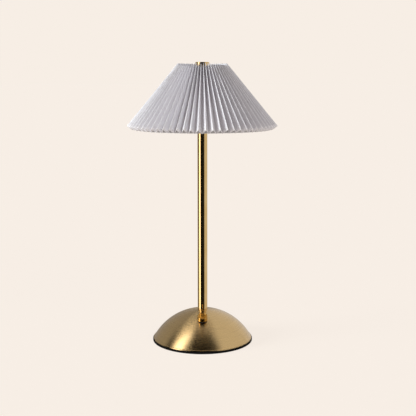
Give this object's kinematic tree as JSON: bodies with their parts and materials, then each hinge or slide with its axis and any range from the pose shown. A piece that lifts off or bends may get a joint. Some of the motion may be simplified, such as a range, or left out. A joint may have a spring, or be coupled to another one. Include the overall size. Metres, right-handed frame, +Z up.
{
  "type": "table lamp",
  "caption": "Cordless table lamp: domed brushed-brass base with a tilted dimmer knob, slim polished stem, and a cone shade of deep accordion pleats held by a plain cylinder finial.",
  "frame": {"origin": "on the floor, on the lamp's axis, under the middle of the base", "axes": "+Z up along the stem; the dimmer knob is towards -Y and the charging inlet towards +Y"},
  "size_m": [0.2266, 0.2266, 0.4276],
  "materials": {
    "dome_brass": "brushed round the axis, lacquered",
    "polished_brass": "polished",
    "rubber": "matte black",
    "zinc_steel": "zinc plated",
    "white_wire": "white enamelled steel wire",
    "iron": "as cast",
    "black_plastic": "moulded",
    "cell_sleeve": "shrink sleeve",
    "circuit_board": "solder mask",
    "white_board": "white solder mask on aluminium",
    "led": "phosphor",
    "wire_sleeve": "insulated lead",
    "heat_sink": "turned",
    "opal": "satin opal",
    "lining": "white styrene film",
    "pleated_cloth": "fine plain weave, heat-set pleats"
  },
  "bodies": {
    "base": {"base_dome": "dome_brass", "base_leads": "wire_sleeve", "base_weight": "iron", "battery_cells": "cell_sleeve", "battery_tray": "black_plastic", "board_parts": "black_plastic", "board_screws": "zinc_steel", "board_standoffs": "zinc_steel", "bottom_plate": "zinc_steel", "control_board": "circuit_board", "diffuser": "opal", "diffuser_nut": "polished_brass", "dimmer_body": "black_plastic", "dimmer_nut": "zinc_steel", "dimmer_washer": "black_plastic", "foot_ring": "rubber", "lamp_wire": "wire_sleeve", "led_board": "white_board", "led_carrier": "heat_sink", "led_chips": "led", "led_screws": "zinc_steel", "nipple_nut": "zinc_steel", "nipple_washer": "zinc_steel", "plate_screws": "zinc_steel", "shade_stud": "zinc_steel", "spacer_tube": "polished_brass", "stem_foot_bushing": "polished_brass", "stem_head_bushing": "polished_brass", "stem_nipple": "zinc_steel", "stem_tube": "polished_brass", "tray_screws": "zinc_steel", "usb_bezel": "black_plastic", "usb_board": "circuit_board", "usb_socket": "zinc_steel"},
    "plunger": {"switch_plunger": "black_plastic"},
    "knob": {"dimmer_knob": "polished_brass", "dimmer_shaft": "zinc_steel", "knob_set_screw": "zinc_steel"},
    "shade": {"shade_hub": "polished_brass", "spider_arms": "white_wire", "shade_top_ring": "white_wire", "shade_bottom_ring": "white_wire", "shade_struts": "white_wire", "shade_lining": "lining", "shade_pleats": "pleated_cloth"},
    "finial": {"finial": "polished_brass"}
  },
  "joints": [
    {"name": "dimmer_press", "type": "slide", "parent": "base", "child": "plunger", "axis": [0, 0.4149, -0.9099], "range_m": [0, 0.0006], "stiffness_N_per_m": 2500, "springref_m": -0.0004},
    {"name": "dimmer_turn", "type": "hinge", "parent": "plunger", "child": "knob", "pos_m": [0, -0.036, 0.04058], "axis": [0, -0.4149, 0.9099], "range_deg": [-300, 0]},
    {"name": "shade_lift", "type": "slide", "parent": "base", "child": "shade", "axis": [0, 0, 1], "range_m": [0, 0.12]},
    {"name": "finial_unscrew", "type": "slide", "parent": "shade", "child": "finial", "axis": [0, 0, 1], "range_m": [0, 0.02]}
  ]
}
